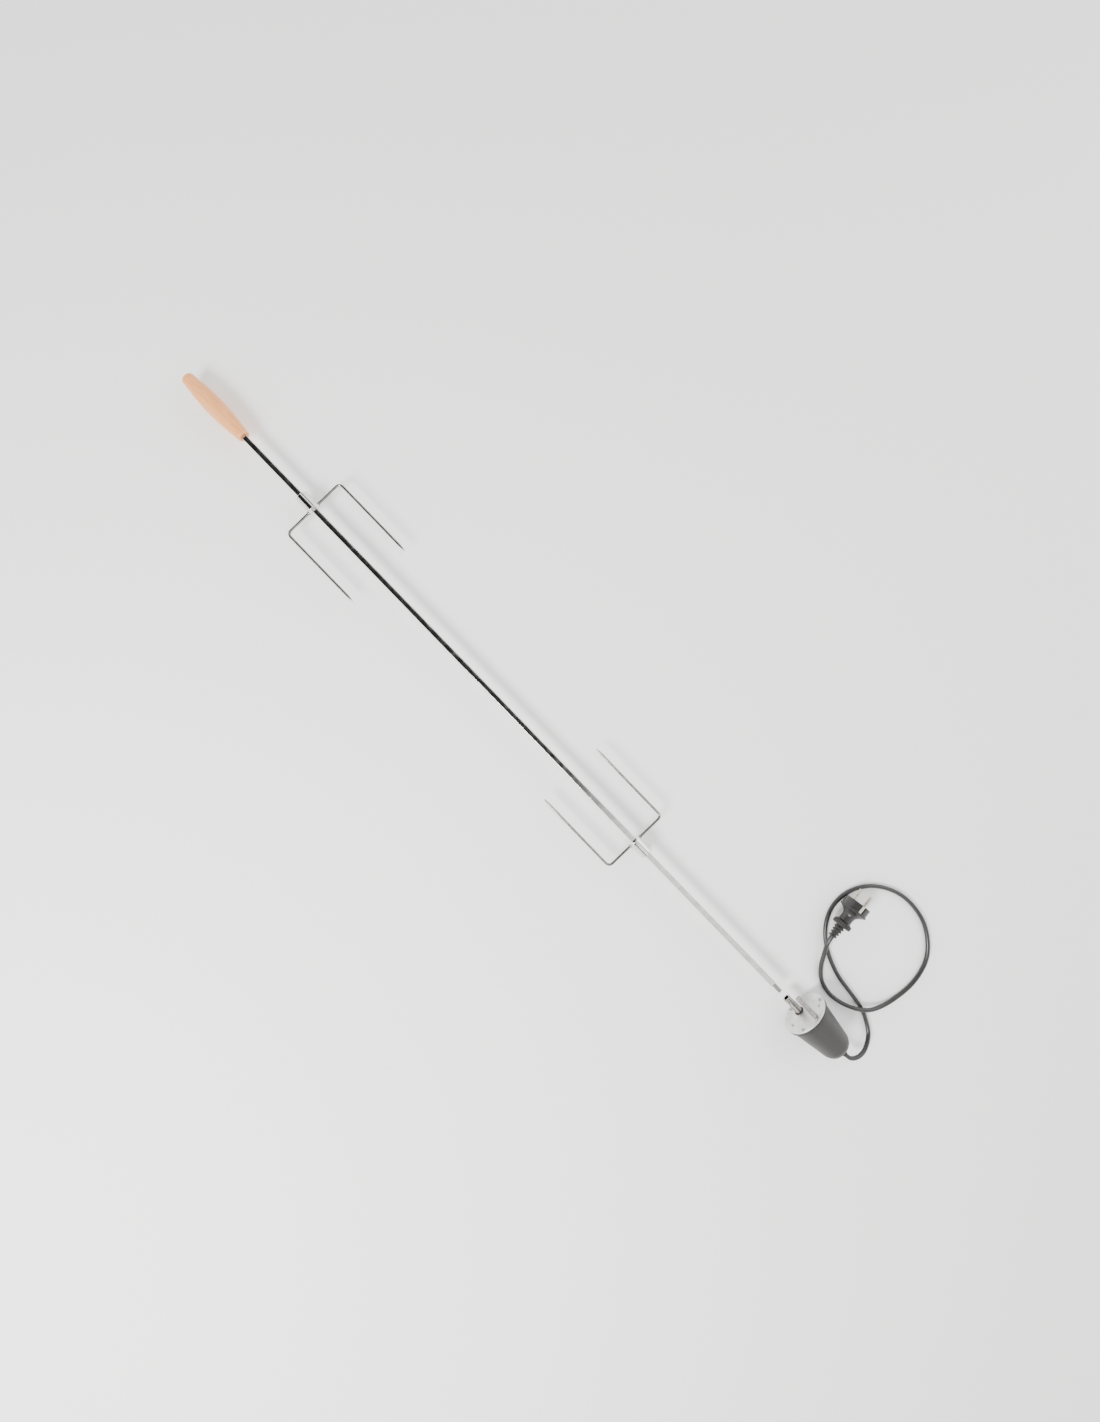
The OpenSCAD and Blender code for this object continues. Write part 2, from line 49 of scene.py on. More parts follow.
# Places that several pieces share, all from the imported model
plateLow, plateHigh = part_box("face_plate")
casingLow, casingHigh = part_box("casing")
shaftLow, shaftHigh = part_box("drive_shaft")
rodLow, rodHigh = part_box("spit_rod")
handleLow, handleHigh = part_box("handle")
pinLow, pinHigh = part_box("locating_pin")
reliefLow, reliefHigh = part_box("strain_relief")
spitAxis = ((shaftLow.y + shaftHigh.y) / 2, (shaftLow.z + shaftHigh.z) / 2)
motorAxis = ((plateLow.y + plateHigh.y) / 2, (plateLow.z + plateHigh.z) / 2)
plateRadius = (plateHigh.y - plateLow.y) / 2
print("frame loaded:", len(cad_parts), "nodes")


# ---- small tools ----

def hexColor(code, alpha=1.0):
    channels = [int(code[i:i + 2], 16) / 255 for i in (1, 3, 5)]
    linear = [c / 12.92 if c <= 0.04045 else ((c + 0.055) / 1.055) ** 2.4 for c in channels]
    return (*linear, alpha)


def perMm(size):
    return 1 / (size * mm)  # texture scale that repeats about once in this many millimetres


def addNode(tree, kind, inputs=None, **settings):
    node = tree.nodes.new(kind)
    for name, value in settings.items():
        setattr(node, name, value)
    for name, value in (inputs or {}).items():
        socket = node.inputs[name]
        if isinstance(value, tuple) and isinstance(value[0], bpy.types.Node):
            tree.links.new(value[0].outputs[value[1]], socket)
        else:
            socket.default_value = value
    return node


def newMaterial(name, **shaderInputs):
    material = bpy.data.materials.new(name)
    material.use_nodes = True
    tree = material.node_tree
    shader = tree.nodes["Principled BSDF"]
    for key, value in shaderInputs.items():
        shader.inputs[key.replace("_", " ")].default_value = value
    return material, tree, shader


def rampStops(node, stops):
    ramp = node.color_ramp
    while len(ramp.elements) < len(stops):
        ramp.elements.new(0.5)
    for element, (place, color) in zip(ramp.elements, stops):
        element.position = place
        element.color = color
    return node


def meshObject(name, points, faces, material, sharpAngle=35):
    mesh = bpy.data.meshes.new(name)
    mesh.from_pydata([tuple(p) for p in points], [], faces)
    work = bmesh.new()
    work.from_mesh(mesh)
    bmesh.ops.remove_doubles(work, verts=work.verts, dist=1e-7)
    bmesh.ops.recalc_face_normals(work, faces=work.faces)
    work.to_mesh(mesh)
    work.free()
    mesh.validate()
    mesh.shade_smooth()
    mesh.set_sharp_from_angle(angle=math.radians(sharpAngle))
    piece = bpy.data.objects.new(name, mesh)
    scene.collection.objects.link(piece)
    mesh.materials.append(material)
    return piece


def settle(piece, body, slotName, *nodes):
    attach(piece, body)
    if nodes:
        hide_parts(*nodes)
    return piece


def filleted(corners, steps=6):
    # corners are (along, radius, fillet); every fillet becomes a round of that size
    outline = []
    for i, (x, r, fillet) in enumerate(corners):
        here = Vector((x, r))
        if not fillet or i in (0, len(corners) - 1):
            outline.append(here)
            continue
        before = Vector(corners[i - 1][:2]) - here
        after = Vector(corners[i + 1][:2]) - here
        reach = min(fillet, 0.49 * before.length, 0.49 * after.length)
        start = here + before.normalized() * reach
        end = here + after.normalized() * reach
        for k in range(steps + 1):
            t = k / steps
            outline.append(start * (1 - t) ** 2 + here * 2 * t * (1 - t) + end * t * t)
    return outline


def lathe(name, outline, center, material, segments=96, shape=None, closed=False, sharpAngle=35):
    # turns (along, radius) points about the X axis through center, in metres
    points, faces = [], []
    rings = len(outline)
    for x, r in outline:
        for k in range(segments):
            angle = 2 * math.pi * k / segments
            radius = shape(x, r, angle) if shape else r
            points.append((x, center[0] + radius * math.cos(angle),
                           center[1] + radius * math.sin(angle)))
    for i in range(rings if closed else rings - 1):
        a, b = i * segments, (i + 1) % rings * segments
        for k in range(segments):
            n = (k + 1) % segments
            faces.append((a + k, b + k, b + n, a + n))
    return meshObject(name, points, faces, material, sharpAngle)


def tube(name, path, radii, material, sides=20):
    # a round bar along path, with a radius at each of its points
    points, faces = [], []
    path = [Vector(p) for p in path]
    last = len(path) - 1
    for i, here in enumerate(path):
        way = (path[min(i + 1, last)] - path[max(i - 1, 0)]).normalized()
        side = Vector((0, 0, 1)).cross(way)
        side = side.normalized() if side.length > 1e-6 else Vector((1, 0, 0))
        up = way.cross(side)
        for k in range(sides):
            angle = 2 * math.pi * k / sides
            points.append(here + radii[i] * (math.cos(angle) * side + math.sin(angle) * up))
    for i in range(last):
        a, b = i * sides, (i + 1) * sides
        for k in range(sides):
            n = (k + 1) % sides
            faces.append((a + k, b + k, b + n, a + n))
    faces.append(tuple(range(sides)))
    faces.append(tuple(range(last * sides, (last + 1) * sides)))
    return meshObject(name, points, faces, material, 50)


# ---- materials ----

def turnedBeech():
    # Beech turned on a lathe and oiled: pale orange, short dark flecks along the grain, and tool
    # rings drawn coarser than real so that they show
    look = {"light": "#f4ab70", "deep": "#e2914f", "fleck": "#ad6a38",
            "grainMm": 2.2, "fleckMm": 0.45, "ringMm": 6.91, "waveRate": 20 / (2 * math.pi)}
    material, tree, shader = newMaterial("turned beech", Roughness=0.46, Coat_Weight=0.12,
                                         Coat_Roughness=0.35, IOR=1.5)
    place = addNode(tree, "ShaderNodeTexCoord")
    grainSpace = addNode(tree, "ShaderNodeMapping", {"Vector": (place, "Object"),
                                                     "Scale": (0.05, 1, 1)})
    grain = addNode(tree, "ShaderNodeTexNoise", {
        "Vector": (grainSpace, "Vector"), "Scale": perMm(look["grainMm"]), "Detail": 6.0,
        "Roughness": 0.6, "Distortion": 0.4})
    tone = rampStops(addNode(tree, "ShaderNodeValToRGB", {"Fac": (grain, "Fac")}),
                     [(0.35, hexColor(look["deep"])), (0.66, hexColor(look["light"]))])
    fleckSpace = addNode(tree, "ShaderNodeMapping", {"Vector": (place, "Object"),
                                                     "Scale": (0.18, 1, 1)})
    fleck = addNode(tree, "ShaderNodeTexNoise", {
        "Vector": (fleckSpace, "Vector"), "Scale": perMm(look["fleckMm"]), "Detail": 1.0})
    fleckMask = rampStops(addNode(tree, "ShaderNodeValToRGB", {"Fac": (fleck, "Fac")}),
                          [(0.60, (0, 0, 0, 1)), (0.70, (0.55, 0.55, 0.55, 1))])
    mixed = addNode(tree, "ShaderNodeMix", data_type="RGBA")
    tree.links.new(fleckMask.outputs["Color"], mixed.inputs["Factor"])
    toneIn, fleckIn = [socket for socket in mixed.inputs if socket.type == "RGBA"]
    tree.links.new(tone.outputs["Color"], toneIn)
    fleckIn.default_value = hexColor(look["fleck"])
    colorOut = [socket for socket in mixed.outputs if socket.type == "RGBA"][0]
    tree.links.new(colorOut, shader.inputs["Base Color"])
    rings = addNode(tree, "ShaderNodeTexWave", {
        "Vector": (place, "Object"), "Scale": perMm(look["ringMm"]) / look["waveRate"],
        "Distortion": 0.6,
        "Detail": 2.0}, wave_type="BANDS", bands_direction="X")
    ringBump = addNode(tree, "ShaderNodeBump", {
        "Height": (rings, "Fac"), "Strength": 0.10, "Distance": 0.0002})
    grainBump = addNode(tree, "ShaderNodeBump", {
        "Height": (fleck, "Fac"), "Strength": 0.18, "Distance": 0.0002,
        "Normal": (ringBump, "Normal")})
    tree.links.new(grainBump.outputs["Normal"], shader.inputs["Normal"])
    return material


def polishedMetal(name, look):
    # plated or bare metal: fine rubbing marks along X and cloudy wipe marks break up the mirror
    material, tree, shader = newMaterial(name, Metallic=1.0, Roughness=look["roughness"])
    place = addNode(tree, "ShaderNodeTexCoord")
    rubSpace = addNode(tree, "ShaderNodeMapping", {"Vector": (place, "Object"),
                                                   "Scale": look["rub"]})
    rub = addNode(tree, "ShaderNodeTexNoise", {
        "Vector": (rubSpace, "Vector"), "Scale": perMm(look["rubMm"]), "Detail": 4.0,
        "Roughness": 0.65})
    cloud = addNode(tree, "ShaderNodeTexNoise", {
        "Vector": (place, "Object"), "Scale": perMm(look["cloudMm"]), "Detail": 3.0})
    both = addNode(tree, "ShaderNodeMath", {0: (rub, "Fac"), 1: (cloud, "Fac")},
                   operation="MULTIPLY")
    rough = addNode(tree, "ShaderNodeMapRange", {
        "Value": (both, "Value"), "From Min": 0.12, "From Max": 0.42,
        "To Min": look["roughness"] * 0.7, "To Max": look["roughness"] * 1.6})
    tree.links.new(rough.outputs["Result"], shader.inputs["Roughness"])
    tone = rampStops(addNode(tree, "ShaderNodeValToRGB", {"Fac": (cloud, "Fac")}),
                     [(0.3, hexColor(look["deep"])), (0.7, hexColor(look["light"]))])
    tree.links.new(tone.outputs["Color"], shader.inputs["Base Color"])
    bump = addNode(tree, "ShaderNodeBump", {
        "Height": (rub, "Fac"), "Strength": look["bump"], "Distance": 0.0001})
    tree.links.new(bump.outputs["Normal"], shader.inputs["Normal"])
    return material


def chromedBarSteel():
    # Drawn square steel, chrome plated: near mirror, with drawing lines along the bar
    return polishedMetal("chromed bar steel", {
        "light": "#c9c8c6", "deep": "#b4b2af", "roughness": 0.13, "rub": (0.02, 1, 1),
        "rubMm": 0.6, "cloudMm": 14, "bump": 0.03})


def bareTipSteel():
    # The tip is sawn and ground bare steel: dull grey, with oxide clouds
    return polishedMetal("bare ground steel", {
        "light": "#a5a29d", "deep": "#7d7a76", "roughness": 0.48, "rub": (1, 0.08, 0.08),
        "rubMm": 0.5, "cloudMm": 3, "bump": 0.35})


def chromedWireWithPaintedShade():
    # Thin chromed wire: its chrome colour is painted darker as painted shade for a dark mirror look;
    # the fine bright line comes from the lamps
    return polishedMetal("chromed wire with painted shade", {
        "light": "#8f8d8b", "deep": "#747270", "roughness": 0.15, "rub": (0.05, 1, 1),
        "rubMm": 0.5, "cloudMm": 9, "bump": 0.10})


def polishedChrome():
    # Turned, buffed and chromed: the brightest metal here, with faint turning rings
    return polishedMetal("polished chrome", {
        "light": "#e2e1df", "deep": "#d0cecb", "roughness": 0.11, "rub": (1, 0.03, 0.03),
        "rubMm": 0.35, "cloudMm": 6, "bump": 0.08})


def platedTubeSteel():
    # Nickel plated turned steel: bright, slightly warm, with fine turning rings
    return polishedMetal("nickel plated steel", {
        "light": "#aaa6a1", "deep": "#8e8a86", "roughness": 0.15, "rub": (1, 0.05, 0.05),
        "rubMm": 0.4, "cloudMm": 5, "bump": 0.15})


def zincPlatedSteel():
    # Zinc plated pressings and screws: pale blue-grey, soft gloss
    return polishedMetal("zinc plated steel", {
        "light": "#b9bcbe", "deep": "#94989b", "roughness": 0.34, "rub": (1, 1, 1),
        "rubMm": 0.8, "cloudMm": 4, "bump": 0.12})


def plainSteel():
    # Plain turned steel
    return polishedMetal("plain steel", {
        "light": "#a09e9a", "deep": "#85827e", "roughness": 0.35, "rub": (1, 0.1, 0.1),
        "rubMm": 0.5, "cloudMm": 4, "bump": 0.15})


def nickelPlatedBrass():
    # Plug pins: nickel over brass, soft mirror with a faint yellow
    return polishedMetal("nickel plated brass", {
        "light": "#d3cdbd", "deep": "#bcb5a2", "roughness": 0.24, "rub": (0.2, 1, 1),
        "rubMm": 0.5, "cloudMm": 4, "bump": 0.1})


def turnedBrass():
    # Cut brass pinion
    return polishedMetal("turned brass", {
        "light": "#cfa557", "deep": "#a97f38", "roughness": 0.28, "rub": (1, 0.1, 0.1),
        "rubMm": 0.4, "cloudMm": 3, "bump": 0.12})


def copperWinding():
    # Enamelled copper wire, wound in fine turns
    return polishedMetal("enamelled copper", {
        "light": "#b5632f", "deep": "#8a451f", "roughness": 0.36, "rub": (1, 0.02, 0.02),
        "rubMm": 0.3, "cloudMm": 5, "bump": 0.6})


def sinteredFerrite():
    # Pressed and fired magnet: dark grey, dull and gritty
    return polishedMetal("sintered ferrite", {
        "light": "#3c3c3e", "deep": "#2a2a2c", "roughness": 0.62, "rub": (1, 1, 1),
        "rubMm": 0.5, "cloudMm": 3, "bump": 0.4})


def brushedPlateSteel():
    # Stainless sheet brushed in one direction: pale grey, with long hair lines drawn coarser than
    # real so that they show
    look = {"light": "#e3e3e1", "deep": "#c5c5c3", "lineMm": 0.5, "cloudMm": 12}
    material, tree, shader = newMaterial("brushed stainless sheet", Metallic=1.0, Roughness=0.42,
                                         Anisotropic=0.35)
    place = addNode(tree, "ShaderNodeTexCoord")
    lineSpace = addNode(tree, "ShaderNodeMapping", {"Vector": (place, "Object"),
                                                    "Scale": (1, 0.03, 1)})
    lines = addNode(tree, "ShaderNodeTexNoise", {
        "Vector": (lineSpace, "Vector"), "Scale": perMm(look["lineMm"]), "Detail": 5.0,
        "Roughness": 0.7})
    cloud = addNode(tree, "ShaderNodeTexNoise", {
        "Vector": (place, "Object"), "Scale": perMm(look["cloudMm"]), "Detail": 4.0})
    blend = addNode(tree, "ShaderNodeMath", {0: (lines, "Fac"), 1: (cloud, "Fac")},
                    operation="ADD")
    tone = rampStops(addNode(tree, "ShaderNodeValToRGB", {"Fac": (
        addNode(tree, "ShaderNodeMapRange", {"Value": (blend, "Value"), "From Min": 0.7,
                                             "From Max": 1.3}), "Result")}),
                     [(0.1, hexColor(look["deep"])), (0.9, hexColor(look["light"]))])
    tree.links.new(tone.outputs["Color"], shader.inputs["Base Color"])
    rough = addNode(tree, "ShaderNodeMapRange", {
        "Value": (lines, "Fac"), "From Min": 0.3, "From Max": 0.7, "To Min": 0.34, "To Max": 0.5})
    tree.links.new(rough.outputs["Result"], shader.inputs["Roughness"])
    bump = addNode(tree, "ShaderNodeBump", {
        "Height": (lines, "Fac"), "Strength": 0.25, "Distance": 0.0001})
    tree.links.new(bump.outputs["Normal"], shader.inputs["Normal"])
    return material


def mouldedPlastic(name, look):
    # moulded plastic: an even colour with a faint cloud, and the mould's fine texture
    material, tree, shader = newMaterial(name, Roughness=look["roughness"], IOR=look["ior"])
    place = addNode(tree, "ShaderNodeTexCoord")
    cloud = addNode(tree, "ShaderNodeTexNoise", {
        "Vector": (place, "Object"), "Scale": perMm(look["cloudMm"]), "Detail": 4.0})
    tone = rampStops(addNode(tree, "ShaderNodeValToRGB", {"Fac": (cloud, "Fac")}),
                     [(0.3, hexColor(look["deep"])), (0.7, hexColor(look["light"]))])
    tree.links.new(tone.outputs["Color"], shader.inputs["Base Color"])
    grit = addNode(tree, "ShaderNodeTexNoise", {
        "Vector": (place, "Object"), "Scale": perMm(look["gritMm"]), "Detail": 2.0})
    rough = addNode(tree, "ShaderNodeMapRange", {
        "Value": (cloud, "Fac"), "From Min": 0.3, "From Max": 0.7,
        "To Min": look["roughness"] - 0.05, "To Max": look["roughness"] + 0.06})
    tree.links.new(rough.outputs["Result"], shader.inputs["Roughness"])
    bump = addNode(tree, "ShaderNodeBump", {
        "Height": (grit, "Fac"), "Strength": look["bump"], "Distance": 0.0001})
    tree.links.new(bump.outputs["Normal"], shader.inputs["Normal"])
    return material


def blackMouldedAbs():
    # Spark-textured black ABS: warm charcoal with a broad soft sheen
    return mouldedPlastic("black moulded ABS", {
        "light": "#1f1d1b", "deep": "#191716", "roughness": 0.45, "ior": 1.54,
        "cloudMm": 22, "gritMm": 0.7, "bump": 0.35})


def softPvcLead():
    # Soft PVC sheath: charcoal with a clear narrow highlight
    return mouldedPlastic("soft PVC sheath", {
        "light": "#232221", "deep": "#1b1a1a", "roughness": 0.33, "ior": 1.53,
        "cloudMm": 16, "gritMm": 1.2, "bump": 0.12})


def mouldedPvcPlug():
    # Plug moulded on to the lead in harder PVC: blacker, satin
    return mouldedPlastic("moulded PVC plug", {
        "light": "#201e1d", "deep": "#181716", "roughness": 0.38, "ior": 1.53,
        "cloudMm": 12, "gritMm": 0.6, "bump": 0.22})


def blackNylonBush():
    # Nylon bearing bush: black, dull
    return mouldedPlastic("black nylon", {
        "light": "#1d1c1b", "deep": "#131312", "roughness": 0.55, "ior": 1.53,
        "cloudMm": 5, "gritMm": 0.5, "bump": 0.2})


def acetalGear():
    # Moulded acetal gears: waxy ivory
    return mouldedPlastic("moulded acetal", {
        "light": "#e6dfc8", "deep": "#d9d1b7", "roughness": 0.38, "ior": 1.48,
        "cloudMm": 8, "gritMm": 0.5, "bump": 0.1})


def whiteNylon():
    # Nylon terminal block: off-white, slightly glossy
    return mouldedPlastic("white nylon", {
        "light": "#e4e2d9", "deep": "#d6d4ca", "roughness": 0.4, "ior": 1.53,
        "cloudMm": 6, "gritMm": 0.5, "bump": 0.1})


materials = {
    "beech": turnedBeech(), "bar": chromedBarSteel(), "tip": bareTipSteel(),
    "wire": chromedWireWithPaintedShade(), "chrome": polishedChrome(), "nickel": platedTubeSteel(),
    "zinc": zincPlatedSteel(), "steel": plainSteel(), "plugPin": nickelPlatedBrass(),
    "brass": turnedBrass(), "copper": copperWinding(), "ferrite": sinteredFerrite(),
    "brushed": brushedPlateSteel(), "abs": blackMouldedAbs(), "lead": softPvcLead(),
    "plug": mouldedPvcPlug(), "bush": blackNylonBush(), "acetal": acetalGear(),
    "nylon": whiteNylon(),
}
print("materials:", len(materials))


# ---- camera ----

def makeCamera():
    view = {"at": (0.040, 0.044, 0.922), "turn": 45.97, "lens": 15.11, "sensor": 36}
    data = bpy.data.cameras.new("camera")
    data.lens = view["lens"]
    data.sensor_width = view["sensor"]
    data.clip_start = 0.01
    data.clip_end = 50
    camera = bpy.data.objects.new("camera", data)
    camera.location = view["at"]
    camera.rotation_euler = (0, 0, math.radians(view["turn"]))
    scene.collection.objects.link(camera)
    scene.camera = camera


makeCamera()
print("camera placed")


# ---- lead ----

# The lead's route from the strain relief, round one loop on the ground, to the plug, in millimetres
leadSettings = {
    "radius": 3.25, "length": 0.80,
    "route": [
        (720, 4.2, 24), (731, 6.2, 23),
        (740, 15, 19), (744, 27, 14), (742, 40, 9), (735, 52, 5.2), (723, 61, 3.5),
        (707, 69, 3.4), (690, 73, 3.4), (666, 76, 3.4), (640, 80, 3.4), (614, 89, 3.4),
        (591, 102, 3.4), (572, 120, 3.4), (560, 142, 3.4), (557, 167, 3.4), (563, 191, 3.4),
        (577, 212, 3.4), (597, 227, 3.4), (621, 236, 3.4), (648, 237, 3.4), (674, 231, 3.4),
        (697, 217, 3.4), (715, 198, 3.4), (725, 175, 3.4), (729, 149, 3.4), (727, 122, 3.6),
        (720, 98, 6.5), (708, 78, 10.4), (692, 64, 10.2), (672, 54, 5.5), (650, 51, 3.4),
        (628, 57, 3.4), (611, 71, 5.4), (597, 88, 10.8), (586, 102, 17), (581, 114, 20),
    ],
}


def makeLead():
    route = [Vector(p) * mm for p in leadSettings["route"]]
    last = len(route) - 1
    curve = bpy.data.curves.new("powerLead", "CURVE")
    curve.dimensions = "3D"
    curve.bevel_depth = leadSettings["radius"] * mm
    curve.bevel_resolution = 6
    curve.resolution_u = 8
    curve.use_fill_caps = True
    spline = curve.splines.new("BEZIER")
    spline.bezier_points.add(last)
    for i, knot in enumerate(spline.bezier_points):
        slope = (route[min(i + 1, last)] - route[max(i - 1, 0)]) / 6
        knot.co = route[i]
        knot.handle_left_type = knot.handle_right_type = "FREE"
        knot.handle_left = route[i] - slope
        knot.handle_right = route[i] + slope
    lead = bpy.data.objects.new("powerLead", curve)
    scene.collection.objects.link(lead)
    curve.materials.append(materials["lead"])
    settle(lead, "motor", "black_pvc", "power_cord")
    return lead


lead = makeLead()
print("lead laid")


# ---- strain relief and plug ----

reliefSettings = {"baseR": 5.5, "tipR": 4.2, "ribs": 6, "step": 0.9, "root": 4,
                  "ribShare": 0.55}


def makeStrainRelief():
    s = reliefSettings
    start = casingHigh.x / mm
    end = reliefHigh.x / mm
    core = s["baseR"] - 1.5
    corners = [(start - s["root"], 0, 0), (start - s["root"], core, 0), (start, core, 0)]
    ribs = s["ribs"]
    pitch = (end - start) / (ribs - 1 + s["ribShare"])
    for i in range(ribs):
        r = s["baseR"] + (s["tipR"] - s["baseR"]) * i / (ribs - 1)
        x = start + pitch * i
        stop = min(x + pitch * s["ribShare"], end)
        corners += [(x, r, 0.4), (stop, r, 0.4)]
        if i < ribs - 1:
            corners += [(stop, r - s["step"], 0.2), (x + pitch, r - s["step"], 0.2)]
    corners.append((end, 0, 0))
    axis = ((reliefLow.y + reliefHigh.y) / 2, (reliefLow.z + reliefHigh.z) / 2)
    outline = [p * mm for p in filleted(corners, 4)]
    piece = lathe("leadStrainRelief", outline, axis, materials["plug"], 64)
    return settle(piece, "motor", "black_pvc", "strain_relief")


plugSettings = {
    "relief": 20, "reliefEndR": 7.5, "ribs": 4, "ribDepth": 1.5, "ribStartR": 5.3,
    "ribShare": 0.66, "grip": 29, "gripRing": 8, "gripR": 13.5, "neckR": 9, "face": 15,
    "flange": 3, "flangeR": 20, "faceR": 18.5, "turn": 97,
    "ridges": 26, "ridgeDepth": 0.7, "slotHalf": 3, "slotDepth": 2.5, "pinR": 2.4, "pinLen": 19,
    "pitch": 19,
}


def standPlug(piece):
    # drawn along +X from the origin, then stood at the lead's end
    end = Vector(leadSettings["route"][-1]) * mm
    piece.rotation_euler = (0, 0, math.radians(plugSettings["turn"]))
    piece.location = end
    bpy.context.view_layer.update()
    piece.data.transform(piece.matrix_world)
    piece.rotation_euler = (0, 0, 0)
    piece.location = (0, 0, 0)
    return piece


def plugShape(x, r, angle):
    s = plugSettings
    at = x / mm
    gripStart = s["relief"]
    faceStart = s["relief"] + s["grip"] + s["flange"]
    if gripStart + 1 < at < gripStart + s["gripRing"] - 1 and r > (s["gripR"] - 1) * mm:
        return r - s["ridgeDepth"] * mm * (0.5 + 0.5 * math.cos(s["ridges"] * angle))
    inSlot = abs(r * math.cos(angle)) < s["slotHalf"] * mm
    if at > faceStart + 0.2 and r > 17 * mm and inSlot:
        return r - s["slotDepth"] * mm
    return r


def makePlugBody():
    s = plugSettings
    gripX = s["relief"]
    ringX = gripX + s["gripRing"]
    faceX = gripX + s["grip"]
    endX = faceX + s["face"]
    corners = [(0, 0, 0), (0, 4.6, 0.5)]
    pitch = s["relief"] / s["ribs"]
    for i in range(s["ribs"]):
        x = pitch * i
        r = s["ribStartR"] + (s["reliefEndR"] - s["ribStartR"]) * (i + 1) / s["ribs"]
        stop = x + pitch * s["ribShare"]
        core = r - s["ribDepth"]
        corners += [(x + 0.3, r, 0.5), (stop, r, 0.5), (stop, core, 0.3), (x + pitch, core, 0.3)]
    corners += [
        (gripX, s["gripR"] - 1.6, 0.6), (gripX + 1.2, s["gripR"], 0.8),
        (ringX - 1.2, s["gripR"], 0.8), (ringX, s["gripR"] - 1.6, 0.8),
        (ringX + 1.5, s["neckR"], 1.5), (faceX - 8, s["neckR"], 4),
        (faceX - 2.2, 15.5, 5), (faceX, s["flangeR"] - 0.6, 0.6), (faceX + 0.6, s["flangeR"], 0.3),
        (faceX + s["flange"], s["flangeR"], 0.5), (faceX + s["flange"], s["faceR"], 0.1),
        (faceX + s["flange"] + 0.4, s["faceR"], 0), (endX, s["faceR"], 0.9), (endX, 14.8, 0.3),
        (endX - 0.7, 14.2, 0.2), (endX - 0.7, 0, 0),
    ]
    outline = [p * mm for p in filleted(corners, 5)]
    piece = lathe("plugBody", outline, (0, 0), materials["plug"], 240, plugShape)
    standPlug(piece)
    return settle(piece, "motor", "black_pvc", "plug_body")


def makePlugPins():
    s = plugSettings
    start = s["relief"] + s["grip"] + s["face"]
    pins = []
    for side, name in ((-1, "plugPinLeft"), (1, "plugPinRight")):
        corners = [(start - 3, 0, 0), (start - 3, s["pinR"], 0), (start + s["pinLen"], s["pinR"], 1.8),
                   (start + s["pinLen"], 0, 0)]
        outline = [p * mm for p in filleted(corners, 8)]
        pin = lathe(name, outline, (side * s["pitch"] / 2 * mm, 0), materials["plugPin"], 48)
        standPlug(pin)
        settle(pin, "motor", "nickel_brass", "plug_pins")
        pins.append(pin)
    return pins


strainRelief = makeStrainRelief()
plugPieces = [makePlugBody(), *makePlugPins(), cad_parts["plug_earth_clips"]]
print("plug and strain relief made")


# ---- spit ----

handleSettings = {"buttR": 10, "frontR": 9.2, "swell": 4.4, "round": 1.8, "steps": 40}


def makeHandle():
    s = handleSettings
    start, end = handleLow.x / mm, handleHigh.x / mm
    length = end - start
    outline = [Vector((start, 0)), Vector((start, (s["buttR"] - s["round"]) * 0.5))]
    for i in range(9):
        a = math.radians(90 * i / 8)
        outline.append(Vector((start + s["round"] * (1 - math.cos(a)),
                               s["buttR"] - s["round"] + s["round"] * math.sin(a))))
    for i in range(1, s["steps"] + 1):
        t = i / s["steps"]
        r = s["buttR"] + (s["frontR"] - s["buttR"]) * t + s["swell"] * math.sin(math.pi * t)
        outline.append(Vector((start + s["round"] + (length - s["round"] - 1) * t, r)))
    front = s["frontR"]
    outline += [Vector((end - 0.3, front - 0.35)), Vector((end, front - 1)),
                Vector((end, 5.9)), Vector((end - 0.4, 5.4)), Vector((end - 0.4, 0))]
    piece = lathe("turnedHandle", [p * mm for p in outline], spitAxis, materials["beech"], 96,
                  sharpAngle=50)
    return settle(piece, "spit", "turned_beech", "handle")


barSettings = {"side": 8, "corner": 0.9, "tipSide": 6, "tipCorner": 0.5, "tipLen": 15, "bevel": 0.7}


def squareSection(side, corner, steps=5):
    half = side / 2 - corner
    section = []
    for quarter in range(4):
        cy = half if quarter in (0, 3) else -half
        cz = half if quarter in (0, 1) else -half
        for k in range(steps + 1):
            a = math.radians(90 * quarter + 90 * k / steps)
            section.append((cy + corner * math.cos(a), cz + corner * math.sin(a)))
    return section


def squareBar(name, stations, material):
    # stations are (x, side, corner) in millimetres
    points, faces = [], []
    for x, side, corner in stations:
        for y, z in squareSection(side, corner):
            points.append((x * mm, spitAxis[0] + y * mm, spitAxis[1] + z * mm))
    count = len(points) // len(stations)
    for i in range(len(stations) - 1):
        a, b = i * count, (i + 1) * count
        for k in range(count):
            n = (k + 1) % count
            faces.append((a + k, b + k, b + n, a + n))
    faces.append(tuple(range(count)))
    faces.append(tuple(range(len(points) - count, len(points))))
    return meshObject(name, points, faces, material, 40)


def makeBar():
    s = barSettings
    start, end = rodLow.x / mm, rodHigh.x / mm
    shoulder = end - s["tipLen"]
    bar = squareBar("squareBar", [
        (start, s["side"], s["corner"]), (shoulder - s["bevel"], s["side"], s["corner"]),
        (shoulder, s["side"] - 2 * s["bevel"], s["corner"] * 0.5)], materials["bar"])
    settle(bar, "spit", "chromed_bar", "spit_rod")
    tip = squareBar("groundTip", [
        (shoulder - 1, s["tipSide"], s["tipCorner"]), (end - 0.8, s["tipSide"], s["tipCorner"]),
        (end, s["tipSide"] - 1.4, s["tipCorner"] * 0.5)], materials["tip"])
    settle(tip, "spit", "chromed_bar", "spit_rod")


makeHandle()
makeBar()
print("spit made")


# ---- forks ----

